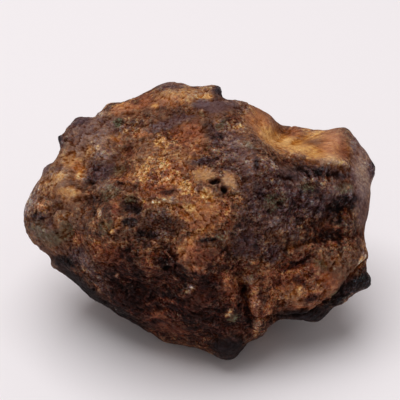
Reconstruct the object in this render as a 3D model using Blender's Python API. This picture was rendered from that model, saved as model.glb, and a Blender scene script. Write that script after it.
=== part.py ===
"""Weathered stony meteorite: one solid broken stone, about as long as a hand is wide.

Every ray from a point in the stone's core meets its surface once, so the whole form is one function,
the distance along a ray. Six steps make it up:
  1. an oval body, flattened by the large facets;
  2. chips, small planes at random places;
  3. hollows, ellipsoids taken out of the body;
  4. the rim's own corners and notches;
  5. soft swells and dents, then long waves, so that no facet is a true plane;
  6. a last fit of the rim to its drawn outline.
A fine sphere takes this form, a Decimate modifier breaks it into facets, and a block cuts the flat base.

Sizes are in hundredths of the stone's length, in the face frame, which has its origin in the core:
u runs right, v runs up the broad front face, and w runs out of that face.
"""

import math

import bmesh
import bpy
import numpy as np
from mathutils import Matrix

# Driving dimensions
LENGTH = 0.100               # metres, the longest side
HUNDREDTH = LENGTH / 100
FACE_RISE = math.radians(38)  # the front face's normal rises this far above the horizontal
FRONT_DEPTH = 31.0           # from the core to the front of the oval body
BACK_DEPTH = 33.0            # from the core to its back
BASE_DROP = 31.5             # the flat base's depth under the core
EYE_DISTANCE = 320.0         # the rim is drawn as it looks from here, straight in front of the face

# How the steps blend
SHARPNESS = 44               # order of the norm that joins facets: the higher, the sharper the ridges
SQUARENESS = 2.8             # order of the oval body's own curve, where 2 is an ellipsoid
FACET_WANDER = 0.5           # how far each facet bends from a plane
WANDER_LENGTH = 20           # length of those bends
WANDER_SEED = 100            # the first facet's seed, and the next facets count up from it
CHIP_COUNT = 80
CHIP_DEPTH = (0.4, 1.8)
CHIP_SEED = 5
HOLLOW_EDGE = 1.0            # width over which a hollow's edge is rounded
NO_HOLLOW = 1000             # distance given to a ray that misses a hollow
SWELL_ONSET = 6              # depth in front of the rim over which swells grow to full height
WAVE_SINES = 24              # sines added up for one set of waves
WAVES = ((17.0, 0.38, 1), (8.0, 0.16, 2))    # length, height and seed

# The rim: blurs are in degrees around it, and a fade is how far in front and behind its detail reaches
BROAD_BLUR = 14
MEDIUM_BLUR = 4
MEDIUM_FADE = 11
FINE_FADE = 4.5
FIT_ROUNDS = 2
FIT_BLUR = 1.2
FIT_BROAD_BLUR = 7
FIT_BROAD_FADE = 14
FIT_FINE_FADE = 5

# Mesh
SPHERE_SUBDIVISIONS = 7
FACE_COUNT = 9300            # triangles left for the whole stone
RIM_STEPS = 720              # angles at which the drawn rim is kept
OUTLINE_STEPS = 240          # angles at which the stone's own outline is measured

# The rim's corners (u, v), anticlockwise from the right
RIM_CORNERS = (
    (47.5, 1.3), (48.2, 6.2), (48.3, 9.7), (49.8, 13.8), (49.3, 15.7), (47.9, 17.6), (47.4, 19.2),
    (43.3, 23.8), (42.2, 25.7), (40.6, 26.8), (36.3, 25.9), (33.0, 25.0), (31.4, 25.2), (29.2, 26.1),
    (25.4, 25.7), (24.6, 26.5), (23.5, 26.3), (20.3, 29.7), (16.2, 31.7), (13.5, 33.0), (9.4, 34.1),
    (6.3, 34.2), (5.5, 37.2), (3.6, 37.9), (-2.5, 37.8), (-4.6, 38.7), (-9.4, 38.8), (-11.6, 38.0),
    (-17.0, 35.2), (-21.7, 33.5), (-26.1, 33.1), (-28.0, 30.7), (-31.0, 29.5), (-34.3, 28.9),
    (-35.8, 28.0), (-38.0, 25.6), (-38.2, 24.5), (-40.1, 23.3), (-39.4, 19.7), (-39.6, 18.4),
    (-41.2, 16.7), (-43.0, 16.1), (-44.5, 14.7), (-44.7, 12.6), (-48.6, 6.1), (-49.7, 3.7),
    (-49.8, -1.9), (-48.6, -3.6), (-47.5, -6.2), (-45.2, -8.6), (-41.7, -10.6), (-42.3, -12.2),
    (-41.9, -13.2), (-35.8, -17.3), (-30.0, -22.7), (-24.3, -25.9), (-16.8, -30.1), (-10.4, -34.3),
    (-6.7, -35.0), (-1.2, -36.0), (2.9, -37.5), (7.5, -39.4), (9.3, -39.1), (13.5, -34.3),
    (15.8, -34.2), (17.6, -31.7), (18.5, -30.1), (22.6, -27.7), (30.8, -28.9), (33.8, -28.4),
    (38.2, -25.2), (44.4, -20.5), (47.1, -19.9), (48.2, -18.7), (48.6, -15.8), (47.4, -13.7),
    (47.4, -8.4), (46.3, -4.1), (46.8, -1.1),
)

# Large facets: direction the facet faces (degrees around the face from +u, degrees away from +w), and
# a point that it passes through
FACETS = {
    "dark_face": (-30, 29, (11, 5, 27.5)),
    "right_strip": (4, 72, (45, 4, 9)),
    "front": (-60, 5, (-2, 2, 28.5)),
    "forehead": (104, 36, (-6, 8, 28)),
    "crown": (92, 56, (-3, 32, 10)),
    "shoulder": (58, 58, (15, 30, 8)),
    "brow": (140, 46, (-27, 18, 17)),
    "cheek": (174, 48, (-37, 4, 14)),
    "jaw": (-146, 60, (-33, -12, 11)),
    "chin": (-112, 44, (-6, -14, 27)),
    "belly": (-106, 64, (-8, -27, 14)),
    "lobe": (-62, 52, (30, -22, 16)),
    "left_end": (165, 80, (-47, 6, -6)),
    "back_right": (20, 128, (34, 10, -20)),
    "back_top": (85, 120, (0, 24, -18)),
    "back_top_right": (50, 145, (18, 16, -24)),
    "back_left": (165, 126, (-32, 5, -20)),
    "back_middle": (-10, 170, (0, 0, -31)),
    "back_low": (-120, 150, (-8, -16, -28)),
    "back_low_right": (-40, 140, (22, -14, -24)),
    "back_low_left": (-150, 132, (-28, -12, -22)),
}

# Hollows: ellipsoid's centre, half-axes, turn in the face, lean of its top away from the face
HOLLOWS = {
    "saddle": ((30, 44, 16), (20, 27, 60), -4, 29),
    "back_scoop_left": ((-16, 14, -43), (16, 12, 15), 0, 0),
    "back_scoop_right": ((20, -8, -43), (12, 14, 14), 20, 0),
    "dish_left": ((-35, -7, -29), (11, 10, 9), 0, 0),
    "dish_right": ((35, 16, -23), (10, 9, 10), 0, 0),
    "dish_low": ((6, -29, -32), (12, 9, 9), 10, 0),
    "dish_top": ((13, 33, -17), (10, 9, 9), 0, 0),
    "dish_under": ((33, -20, -23), (9, 10, 9), 0, 0),
}

# Swells (height above 0) and dents (below 0): centre, reach along and across, turn in the face, height
SWELLS = {
    "heart": ((2, -9), (6, 6), 0, 1.6),
    "boss": ((-4, 4), (9, 7), 0, 0.9),
    "knob": ((7, -35), (4, 4), 0, 1.6),
    "saddle_rim": ((29, 16.5), (14, 2.2), -10, 1.1),
    "saddle_peak": ((41, 24), (4, 4), 0, 1.4),
    "under_saddle": ((34, 12), (10, 2.6), -5, -2.0),
    "right_hollow": ((38, 2), (5, 4), 20, -1.6),
    "lobe_top": ((31, -16), (14, 7), 14, 4.0),
    "lobe_step": ((29, -6.5), (12, 2.4), 14, -1.3),
    "lobe_ridge": ((16, -23), (2.5, 9), 12, 1.3),
    "lobe_groove": ((12, -22), (2.0, 8), 12, -1.2),
    "low_hollow": ((-19, -19), (10, 5), -30, -2.2),
    "turn_ridge": ((-20, -12.5), (13, 2.4), 3, 1.0),
    "brow_swell": ((-12, 17), (8, 6), 0, 1.1),
    "upper_dent": ((-24, 13), (6, 4), 30, -0.9),
    "charcoal_pocket": ((-19, 4), (3.4, 2.8), 0, -1.1),
}


def face_to_world():
    """Rotation from the face frame (u, v, w) to the stone's frame, +Z up, face towards -Y."""
    rise, run = math.sin(FACE_RISE), math.cos(FACE_RISE)
    return Matrix(((1, 0, 0), (0, rise, -run), (0, run, rise)))


def rim_outline():
    """Distance from the core to the drawn rim, at RIM_STEPS angles around the face."""
    corners = np.array(RIM_CORNERS)
    corner_angle = np.arctan2(corners[:, 1], corners[:, 0]) % (2 * math.pi)
    order = np.argsort(corner_angle)
    loop = np.vstack([corners[order[-1:]], corners[order], corners[order[:1]]])
    angle = (np.arange(RIM_STEPS) + 0.5) * 2 * math.pi / RIM_STEPS
    run = np.searchsorted(corner_angle[order], angle)
    start, along = loop[run], loop[run + 1] - loop[run]
    cross_start = start[:, 0] * along[:, 1] - start[:, 1] * along[:, 0]
    return cross_start / (np.cos(angle) * along[:, 1] - np.sin(angle) * along[:, 0])


def blurred(around, degrees):
    """The same values around the rim, averaged over a Gaussian of this width."""
    harmonic = np.arange(RIM_STEPS // 2 + 1)
    fade = np.exp(-(harmonic * math.radians(degrees)) ** 2 / 2)
    return np.fft.irfft(np.fft.rfft(around) * fade, RIM_STEPS)


def at_angle(around, points):
    """Read values kept around the rim at the angle of each point."""
    angle = np.arctan2(points[:, 1], points[:, 0])
    steps = (np.arange(RIM_STEPS) + 0.5) * 2 * math.pi / RIM_STEPS
    return np.interp(angle, steps, around, period=2 * math.pi)


def waves(points, length, seed):
    """Smooth random heights of about 1: sines of random direction and phase, near one wavelength."""
    chance = np.random.default_rng(seed)
    heading = chance.normal(size=(WAVE_SINES, 3))
    heading /= np.linalg.norm(heading, axis=1, keepdims=True)
    heading *= 2 * math.pi / length * chance.uniform(0.7, 1.4, size=(WAVE_SINES, 1))
    phase = chance.uniform(0, 2 * math.pi, WAVE_SINES)
    return np.sin(points @ heading.T + phase).sum(axis=1) / math.sqrt(WAVE_SINES / 2)


def facing(around, away):
    """Unit direction, in degrees around the face from +u and degrees away from +w."""
    around, away = math.radians(around), math.radians(away)
    flat = math.sin(away)
    return np.array((math.cos(around) * flat, math.sin(around) * flat, math.cos(away)))


def cut_by_planes(rays, distance):
    """Join a body with planes: 1/distance is a high-order norm of 1/distance of each.

    A plane at reach h along its normal n meets a ray d at h / (d . n).
    """
    inverse = distance ** -SHARPNESS
    points = rays * distance[:, None]
    for number, (around, away, through) in enumerate(FACETS.values()):
        normal = facing(around, away)
        reach = normal @ np.array(through) + FACET_WANDER * waves(points, WANDER_LENGTH, WANDER_SEED + number)
        inverse += (np.maximum(rays @ normal, 0) / reach) ** SHARPNESS
    points = rays * inverse[:, None] ** (-1 / SHARPNESS)
    chance = np.random.default_rng(CHIP_SEED)
    for _ in range(CHIP_COUNT):
        normal = chance.normal(size=3)
        normal /= np.linalg.norm(normal)
        reach = (points @ normal).max() - chance.uniform(*CHIP_DEPTH)
        inverse += (np.maximum(rays @ normal, 0) / reach) ** SHARPNESS
    return inverse ** (-1 / SHARPNESS)


def oval_body(rays, rim):
    """Superellipse between the rim's broad shape and the two depths."""
    depth = np.where(rays[:, 2] > 0, FRONT_DEPTH, BACK_DEPTH)
    flat = np.hypot(rays[:, 0], rays[:, 1]) / at_angle(rim, rays)
    return (flat ** SQUARENESS + (np.abs(rays[:, 2]) / depth) ** SQUARENESS) ** (-1 / SQUARENESS)


def ellipsoid_distance(rays, centre, half_axes, turn, lean):
    """First meeting of each ray with an ellipsoid in front of it, or NO_HOLLOW where it misses."""
    rotation = Matrix.Rotation(math.radians(turn), 3, 'Z') @ Matrix.Rotation(math.radians(lean), 3, 'X')
    to_sphere = np.array(rotation.transposed()) / np.array(half_axes)[:, None]
    ray, middle = rays @ to_sphere.T, to_sphere @ np.array(centre)
    square, along, outside = (ray * ray).sum(axis=1), ray @ middle, middle @ middle - 1
    under_root = along * along - square * outside
    meets = (under_root > 0) & (along > 0)
    return np.where(meets, (along - np.sqrt(np.maximum(under_root, 0))) / square, NO_HOLLOW)


def take_hollow(distance, hollow):
    """Smooth minimum of the surface and a hollow's ellipsoid."""
    share = np.clip(0.5 + 0.5 * (hollow - distance) / HOLLOW_EDGE, 0, 1)
    return hollow * (1 - share) + distance * share - HOLLOW_EDGE * share * (1 - share)


def swell_heights(points):
    """Sum of soft mounds and dents, each a Gaussian in the face, on the front only."""
    front = np.clip(points[:, 2] / SWELL_ONSET, 0, 1)
    total = np.zeros(len(points))
    for centre, (along, across), turn, height in SWELLS.values():
        offset = points[:, :2] - np.array(centre)
        cosine, sine = math.cos(math.radians(turn)), math.sin(math.radians(turn))
        right = (offset[:, 0] * cosine + offset[:, 1] * sine) / along
        up = (offset[:, 1] * cosine - offset[:, 0] * sine) / across
        total += height * np.exp(-right ** 2 - up ** 2)
    return total * front


def add_rim_detail(rays, distance, around, reach):
    """Stretch the surface by values kept around the rim, fading over a reach in front and behind."""
    fade = np.exp(-(rays[:, 2] * distance / reach) ** 2)
    return distance * (1 + at_angle(around, rays) * fade)


def fit_rim(rays, distance, rim):
    """Stretch the surface near the rim until its outline from the eye is the drawn one."""
    points = rays * distance[:, None]
    nearness = EYE_DISTANCE / (EYE_DISTANCE - points[:, 2])
    seen = np.hypot(points[:, 0], points[:, 1]) * nearness
    turn = np.arctan2(points[:, 1], points[:, 0]) / (2 * math.pi) % 1
    outline = np.zeros(OUTLINE_STEPS)
    np.maximum.at(outline, (turn * OUTLINE_STEPS).astype(int) % OUTLINE_STEPS, seen)
    outline = np.repeat(outline, RIM_STEPS // OUTLINE_STEPS)
    stretch = blurred(rim / outline - 1, FIT_BLUR)
    broad = blurred(stretch, FIT_BROAD_BLUR)
    distance = add_rim_detail(rays, distance, broad, FIT_BROAD_FADE)
    return add_rim_detail(rays, distance, stretch - broad, FIT_FINE_FADE)


def surface_distance(rays):
    """Distance from the core to the stone's surface along each unit ray."""
    rim = rim_outline()
    broad, medium = blurred(rim, BROAD_BLUR), blurred(rim, MEDIUM_BLUR)
    distance = cut_by_planes(rays, oval_body(rays, broad))
    for shape in HOLLOWS.values():
        distance = take_hollow(distance, ellipsoid_distance(rays, *shape))
    distance = add_rim_detail(rays, distance, medium / broad - 1, MEDIUM_FADE)
    distance = add_rim_detail(rays, distance, rim / medium - 1, FINE_FADE)
    points = rays * distance[:, None]
    distance = distance + swell_heights(points)
    for length, height, seed in WAVES:
        distance = distance + height * waves(points, length, seed)
    for _ in range(FIT_ROUNDS):
        distance = fit_rim(rays, distance, rim)
    return distance


def stone_mesh():
    """A fine sphere whose vertices move out along their rays to the stone's surface."""
    shape = bmesh.new()
    bmesh.ops.create_icosphere(shape, subdivisions=SPHERE_SUBDIVISIONS, radius=1)
    mesh = bpy.data.meshes.new("meteorite")
    shape.to_mesh(mesh)
    shape.free()
    rays = np.empty(3 * len(mesh.vertices), dtype=np.float32)
    mesh.vertices.foreach_get("co", rays)
    rays = rays.reshape(-1, 3).astype(float)
    rays /= np.linalg.norm(rays, axis=1, keepdims=True)
    points = rays * surface_distance(rays)[:, None] * HUNDREDTH
    points = points @ np.array(face_to_world()).T
    mesh.vertices.foreach_set("co", points.astype(np.float32).ravel())
    mesh.update()
    return mesh


def stone_material():
    """Rust-brown weathered stone: rough, not metallic."""
    material = bpy.data.materials.new("weathered_stone")
    material.use_nodes = True
    shader = material.node_tree.nodes["Principled BSDF"]
    shader.inputs["Base Color"].default_value = (0.115, 0.052, 0.031, 1)
    shader.inputs["Roughness"].default_value = 0.8
    shader.inputs["Metallic"].default_value = 0
    return material


def new_collection(name):
    """A collection of this name in the scene."""
    collection = bpy.data.collections.new(name)
    bpy.context.scene.collection.children.link(collection)
    return collection


def add_stone(collection):
    """The stone, broken into facets by a Decimate modifier."""
    stone = bpy.data.objects.new("meteorite", stone_mesh())
    collection.objects.link(stone)
    stone.data.materials.append(stone_material())
    facets = stone.modifiers.new("facets", 'DECIMATE')
    facets.ratio = FACE_COUNT / len(stone.data.polygons)
    return stone


def cut_base(stone, collection):
    """Cut the base flat with a block under it, and keep the block with the stone."""
    width, depth = 2 * LENGTH, LENGTH / 2
    block_mesh = bpy.data.meshes.new("base_block")
    shape = bmesh.new()
    bmesh.ops.create_cube(shape, size=1, matrix=Matrix.Diagonal((width, width, depth, 1)))
    shape.to_mesh(block_mesh)
    shape.free()
    block = bpy.data.objects.new("base_block", block_mesh)
    collection.objects.link(block)
    block.location.z = -BASE_DROP * HUNDREDTH - depth / 2
    block.parent = stone
    block.hide_render = True
    block.display_type = 'WIRE'
    cut = stone.modifiers.new("base", 'BOOLEAN')
    cut.object = block
    cut.operation = 'DIFFERENCE'


def put_origin_under(stone):
    """Move the stone so that the frame's origin is the bottom centre of its box."""
    bpy.context.view_layer.update()
    finished = stone.evaluated_get(bpy.context.evaluated_depsgraph_get())
    corners = np.array([corner[:] for corner in finished.bound_box])
    low, high = corners.min(axis=0), corners.max(axis=0)
    stone.location = (-(low[0] + high[0]) / 2, -(low[1] + high[1]) / 2, -low[2])
    bpy.context.view_layer.update()


def main():
    for old in list(bpy.data.objects):
        bpy.data.objects.remove(old, do_unlink=True)
    stone = add_stone(new_collection("meteorite"))
    cut_base(stone, new_collection("cutters"))
    put_origin_under(stone)


main()
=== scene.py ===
# %% [markdown]
# # A weathered stony meteorite
#
# The object is one broken stone, as long as a hand is wide, that has lain in the ground for a long time.
# Its iron has rusted, so brown, rust and yellow ochre lie over a nearly black crust. This lesson gives the
# plain solid its real surface: ledges, grains, pits and cracks worked out with numpy, and a mineral finish
# made from nodes.
#
# The solid comes first. It is the fixed frame that everything else is measured from.

# %% Load the solid
import math
from functools import partial

import bmesh
import bpy
import numpy as np
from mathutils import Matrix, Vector


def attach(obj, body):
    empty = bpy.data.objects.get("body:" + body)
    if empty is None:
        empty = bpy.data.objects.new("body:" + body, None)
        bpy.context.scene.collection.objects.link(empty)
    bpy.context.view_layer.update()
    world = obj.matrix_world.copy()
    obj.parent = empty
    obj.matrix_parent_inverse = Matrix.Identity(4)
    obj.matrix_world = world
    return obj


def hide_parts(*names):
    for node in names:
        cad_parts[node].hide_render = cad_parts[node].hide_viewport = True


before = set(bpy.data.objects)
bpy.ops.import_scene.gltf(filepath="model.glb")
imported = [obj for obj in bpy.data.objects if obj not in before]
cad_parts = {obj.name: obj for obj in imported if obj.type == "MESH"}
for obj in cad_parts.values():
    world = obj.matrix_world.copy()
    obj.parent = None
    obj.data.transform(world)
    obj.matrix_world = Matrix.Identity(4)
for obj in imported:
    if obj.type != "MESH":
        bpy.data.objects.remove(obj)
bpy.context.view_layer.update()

# %% [markdown]
# ## A drawing frame for the stone
#
# A stone has no straight edges to measure from. Its features are easier to place in a frame of its own: the
# origin is a point in the core, u runs right, v runs up the broad front face, and w runs out of that face,
# towards the eye. The face leans back, so w rises 38 degrees above the horizontal. Sizes in this frame are
# millimetres.
#
# A feature is placed by where it shows from straight in front, so points are first spread by perspective.

# %% The drawing frame
MM = 0.001
CORE = Vector((0.02, -0.97, 31.5)) * MM
FACE_RISE = math.radians(38)
EYE_DISTANCE = 320.0

RIGHT = np.array((1, 0, 0))
UP = np.array((0, math.sin(FACE_RISE), math.cos(FACE_RISE)))
OUT = np.array((0, -math.cos(FACE_RISE), math.sin(FACE_RISE)))
FACE_AXES = np.array((RIGHT, UP, OUT))


def to_face(points):
    """Stone frame in metres to (u, v, w) in millimetres: subtract the core and project on the three axes."""
    return (points - np.array(CORE)) @ FACE_AXES.T / MM


def to_stone(points):
    """(u, v, w) in millimetres to the stone frame in metres."""
    return points @ FACE_AXES * MM + np.array(CORE)


def as_seen(points):
    """Where (u, v, w) shows from the eye: (u, v) times distance over distance left."""
    return points[:, :2] * (EYE_DISTANCE / (EYE_DISTANCE - points[:, 2:]))


print("core, mm above the floor:", round(CORE.z / MM, 1))

# %% [markdown]
# ## A ball of even squares
#
# The stone is star-shaped: every ray from its core meets the surface once. So its fine surface can be a
# ball whose points move along their rays. A ball with two poles crowds its points there. A cube blown up to
# a ball has no poles, and spacing the lines of each side by equal angles keeps the squares nearly even.
#
# Each side is a grid of two parameters. Points on a shared edge have the same whole numbers on the cube, so
# they are found and joined by number, which closes the seams exactly.

# %% Ball grid
GRID = 128               # squares along one side of the cube
MIDDLE = GRID // 2
FORWARD_DRAW = 1.25      # points lie this much closer in the middle of the face
TINY = 1e-12


def cube_lattice():
    """Whole-number places of the six sides' grid points, one row a point, and each square's four corners."""
    first, second = np.meshgrid(np.arange(GRID + 1), np.arange(GRID + 1), indexing="ij")
    corner = np.arange((GRID + 1) ** 2).reshape(GRID + 1, GRID + 1)
    square = np.stack((corner[:-1, :-1], corner[1:, :-1], corner[1:, 1:], corner[:-1, 1:]), -1)
    square = square.reshape(-1, 4)
    places, squares = [], []
    for axis in range(3):
        for end in (0, GRID):
            side = np.stack((first.ravel(), second.ravel(), np.full(first.size, end)), 1)
            turned = square if end else square[:, ::-1]
            squares.append(turned + len(places) * (GRID + 1) ** 2)
            places.append(np.roll(side, axis + 1, axis=1))
    return np.concatenate(places) - MIDDLE, np.concatenate(squares)


def ball_grid():
    """Unit rays and squares of the closed ball: tan(angle) of even angles on each side, then unit length."""
    places, squares = cube_lattice()
    joined, number = np.unique(places, axis=0, return_inverse=True)
    rays = np.tan(joined / MIDDLE * math.pi / 4)
    rays /= np.linalg.norm(rays, axis=1, keepdims=True)
    return drawn_forward(rays), number.ravel()[squares]


def drawn_forward(rays):
    """Rays drawn towards the face by a map that keeps squares square: each ray goes to the flat plane of the
    stereographic projection from the back, is shrunk there, and comes back to the ball."""
    out = rays @ OUT
    flat = (rays - out[:, None] * OUT) / (1 + out[:, None] + TINY) / FORWARD_DRAW
    square = (flat ** 2).sum(axis=1, keepdims=True)
    return (2 * flat + (1 - square) * OUT) / (1 + square)


rays, squares = ball_grid()
print("points:", len(rays), "squares:", len(squares))

# %% [markdown]
# ## Moving the ball onto the solid
#
# The distance along each ray comes from the solid itself, so the fine stone keeps its size and place.
# Blender's Shrinkwrap modifier, in Project mode, finds where each ray meets the solid, much faster than
# asking one ray at a time. It works on a copy of the solid whose loose triangles are joined first. The copy
# is removed again.

# %% Project onto the solid
SEED_RADIUS = 5 * MM     # the ball starts this small, well inside the stone
SAME_PLACE = 1e-6        # m, corners of triangles closer than this are joined


def new_mesh(name, points, polygons):
    """A mesh from an array of points and an array of corner numbers."""
    mesh = bpy.data.meshes.new(name)
    mesh.from_pydata(points.tolist(), [], polygons.tolist())
    mesh.update()
    return mesh


def new_object(name, mesh):
    """An object of this mesh in the scene."""
    thing = bpy.data.objects.new(name, mesh)
    bpy.context.scene.collection.objects.link(thing)
    return thing


def read_points(mesh):
    """Vertex positions as an array, one row a point."""
    points = np.empty(3 * len(mesh.vertices))
    mesh.vertices.foreach_get("co", points)
    return points.reshape(-1, 3)


def joined_copy(node):
    """A copy of a node's mesh with its loose triangles joined."""
    shape = bmesh.new()
    shape.from_mesh(node.data)
    bmesh.ops.remove_doubles(shape, verts=shape.verts, dist=SAME_PLACE)
    mesh = bpy.data.meshes.new("solid_copy")
    shape.to_mesh(mesh)
    shape.free()
    return new_object("solid_copy", mesh)


def project_on(node):
    """Distance in millimetres from the core to the node along each ray."""
    target = joined_copy(node)
    ball = new_object("ball", new_mesh("ball", rays * SEED_RADIUS + np.array(CORE), squares))
    wrap = ball.modifiers.new("wrap", 'SHRINKWRAP')
    wrap.target = target
    wrap.wrap_method = 'PROJECT'
    wrap.use_negative_direction = False
    wrap.use_positive_direction = True
    shown = ball.evaluated_get(bpy.context.evaluated_depsgraph_get())
    distance = np.linalg.norm(read_points(shown.data) - np.array(CORE), axis=1) / MM
    for helper in (ball, target):
        bpy.data.objects.remove(helper, do_unlink=True)
    return distance


distance = project_on(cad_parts["meteorite"])
print("core to surface, mm:", round(distance.min(), 1), "to", round(distance.max(), 1))

# %% [markdown]
# ## Smoothing away the facets
#
# The solid's facets are a couple of millimetres wide. Each distance is averaged with its neighbours' a few
# times, which rounds the facets off and leaves every larger form. The flat base has to stay flat, so points
# on it keep their place.

# %% Neighbour averages
FACET_ROUNDS = 7
BASE_BAND = 0.3          # mm above the floor that counts as the flat base

edges = np.concatenate([squares[:, (side, (side + 1) % 4)] for side in range(4)])
neighbour_count = np.bincount(edges[:, 0], minlength=len(rays))


def neighbour_mean(values):
    """Mean of each point's neighbours around the squares' edges, for one column of values."""
    return np.bincount(edges[:, 0], values[edges[:, 1]], minlength=len(rays)) / neighbour_count


def smoothed(values, rounds):
    """Half the value plus half its neighbours' mean, this many times over."""
    for _ in range(rounds):
        values = (values + neighbour_mean(values)) / 2
    return values


base_height = (rays * distance[:, None] * MM + np.array(CORE))[:, 2] / MM
on_base = base_height < BASE_BAND
distance = np.where(on_base, distance, smoothed(distance, FACET_ROUNDS))
body = to_face(rays * distance[:, None] * MM + np.array(CORE))
print("points on the flat base:", int(on_base.sum()))

# %% [markdown]
# ## Noise, the raw material of rock
#
# Rock looks random but not even: it has a largest and a smallest size of feature. Three kinds of noise give
# that. Gradient noise makes soft swells of one size, and a fractal sum of it, each layer half the size, makes
# a broken surface. Cell noise measures the distance to scattered points, and makes rounded grains with sharp
# joints, like the small round chondrules and mineral grains of this kind of stone. Chips use the same points,
# but each carries a small plane, as where flakes broke off.

# %% Noise functions
TABLE = 256              # random values that a lattice draws from
NOISE_GAIN = 1.6         # brings gradient noise to about -1 to 1
FAR = 9.0                # cells, farther than any scattered point can be


def hashed(cell, shuffle):
    """A number from 0 to 255 for each lattice cell, by looking its three numbers up in a shuffled table."""
    code = shuffle[cell[:, 0] % TABLE]
    code = shuffle[(code + cell[:, 1]) % TABLE]
    return shuffle[(code + cell[:, 2]) % TABLE]


def gradient_noise(points, size, seed):
    """Soft noise of about -1 to 1: each lattice corner has a random slope, and the heights that the eight
    slopes give are blended by 6t^5 - 15t^4 + 10t^3 along each axis."""
    chance = np.random.default_rng(seed)
    shuffle = chance.permutation(TABLE)
    slopes = chance.normal(size=(TABLE, 3))
    slopes /= np.linalg.norm(slopes, axis=1, keepdims=True)
    grid = points / size
    cell = np.floor(grid).astype(int)
    inside = grid - cell
    blend = inside ** 3 * (inside * (inside * 6 - 15) + 10)
    total = np.zeros(len(points))
    for corner in np.ndindex(2, 2, 2):
        slope = slopes[hashed(cell + corner, shuffle)]
        share = np.where(corner, blend, 1 - blend).prod(axis=1)
        total += share * (slope * (inside - corner)).sum(axis=1)
    return total * NOISE_GAIN


def fractal_noise(points, size, seed, layers=4, gain=0.55):
    """Sum of gradient noise, each layer half the size and `gain` times the height of the last."""
    total = np.zeros(len(points))
    for layer in range(layers):
        total += gain ** layer * gradient_noise(points, size / 2 ** layer, seed + layer)
    return total


def scattered(points, size, seed):
    """One random point with a random slope in each lattice cell. Gives, for each of the 27 cells around, the
    way from its point, the distance and its slope, all in cells."""
    chance = np.random.default_rng(seed)
    shuffle = chance.permutation(TABLE)
    places = chance.uniform(0.1, 0.9, size=(TABLE, 3))
    slopes = chance.normal(size=(TABLE, 3))
    grid = points / size
    cell = np.floor(grid).astype(int)
    for offset in np.ndindex(3, 3, 3):
        there = cell + np.array(offset) - 1
        code = hashed(there, shuffle)
        way = grid - there - places[code]
        yield way, np.linalg.norm(way, axis=1), slopes[code]


def cell_noise(points, size, seed):
    """Distances to the nearest and second nearest scattered point, in cells."""
    nearest = np.full(len(points), FAR)
    second = nearest.copy()
    for _, gap, _ in scattered(points, size, seed):
        second = np.minimum(second, np.maximum(nearest, gap))
        nearest = np.minimum(nearest, gap)
    return nearest, second


def chipped(points, size, seed):
    """Flat chips: each point lies on a plane through its nearest scattered point, with that point's slope.
    The planes don't meet, so chips end in small steps."""
    nearest = np.full(len(points), FAR)
    height = np.zeros(len(points))
    for way, gap, slope in scattered(points, size, seed):
        height = np.where(gap < nearest, (way * slope).sum(axis=1), height)
        nearest = np.minimum(nearest, gap)
    return height * size


def smoothstep(low, high, values):
    """0 below low, 1 above high, and 3t^2 - 2t^3 between."""
    share = np.clip((values - low) / (high - low), 0, 1)
    return share * share * (3 - 2 * share)


print("fractal noise spread:", round(float(fractal_noise(body, 8, 1).std()), 2))

# %% [markdown]
# ## Named places on the face
#
# Noise alone would make any stone. This one has its own ledges, mounds, pits and coloured patches. Each is
# named and placed in the drawing frame. Before a place is measured, the points are shifted a little by
# noise, so edges wander as they do on a broken stone.
#
# - A spot is an ellipse with soft edges: 1 in the middle, fading with distance.
# - A ledge is a line of a few points. The surface drops on one side of it and comes back slowly.

# %% Spots and ledges
FULL_WANDER = 4.0        # mm, patches narrower than this wander less
LEDGE_WANDER = 0.5       # share of the wander that ledges have
JITTER = 0.4             # mm, how far the finest noise moves an edge
LEDGE_END = 2.5          # mm, over which a ledge's ends fade
FRONT_ROUNDS = 12        # of smoothing, for an even border of the face
FRONT = (-0.45, -0.05)   # the face begins between these cosines of normal and way to the eye

seen = as_seen(body)
wander = np.stack([0.8 * fractal_noise(body, 7, seed) + 0.5 * fractal_noise(body, 2.4, seed + 9)
                   for seed in (21, 41)], 1)
jitter = np.stack([fractal_noise(body, 1.2, seed, layers=2) for seed in (51, 55)], 1)
placed = seen + LEDGE_WANDER * wander


def normals_of(points):
    """Unit normals: cross products of each square's diagonals, added up at its four corners."""
    corner = points[squares]
    cross = np.cross(corner[:, 2] - corner[:, 0], corner[:, 3] - corner[:, 1])
    total = np.stack([np.bincount(squares.ravel(), np.repeat(cross[:, axis], 4), minlength=len(points))
                      for axis in range(3)], 1)
    return total / np.linalg.norm(total, axis=1, keepdims=True)


to_eye = np.array((0, 0, EYE_DISTANCE)) - body
facing = (normals_of(body) * to_eye).sum(axis=1) / np.linalg.norm(to_eye, axis=1)
in_front = smoothstep(*FRONT, smoothed(facing, FRONT_ROUNDS))


def spot(centre, reach, turn=0, hardness=2):
    """exp(-d^hardness), where d is the distance from the centre in a turned ellipse of this reach."""
    narrow = min(reach)
    shift = wander * min(1, narrow / FULL_WANDER) + JITTER * jitter * min(1, narrow)
    offset = seen + shift - np.array(centre)
    cosine, sine = math.cos(math.radians(turn)), math.sin(math.radians(turn))
    along = (offset[:, 0] * cosine + offset[:, 1] * sine) / reach[0]
    across = (offset[:, 1] * cosine - offset[:, 0] * sine) / reach[1]
    return np.exp(-np.hypot(along, across) ** hardness) * in_front


def line_distance(line, points):
    """Signed distance to a line of straight runs, positive on its right."""
    corners = np.array(line, dtype=float)
    best = np.full(len(points), np.inf)
    signed = best.copy()
    for start, end in zip(corners[:-1], corners[1:]):
        run = end - start
        offset = points - start
        share = np.clip(offset @ run / (run @ run), 0, 1)
        gap = np.linalg.norm(offset - share[:, None] * run, axis=1)
        side = np.sign(offset[:, 0] * run[1] - offset[:, 1] * run[0])
        nearer = gap < best
        best = np.where(nearer, gap, best)
        signed = np.where(nearer, gap * side, signed)
    return signed


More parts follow.
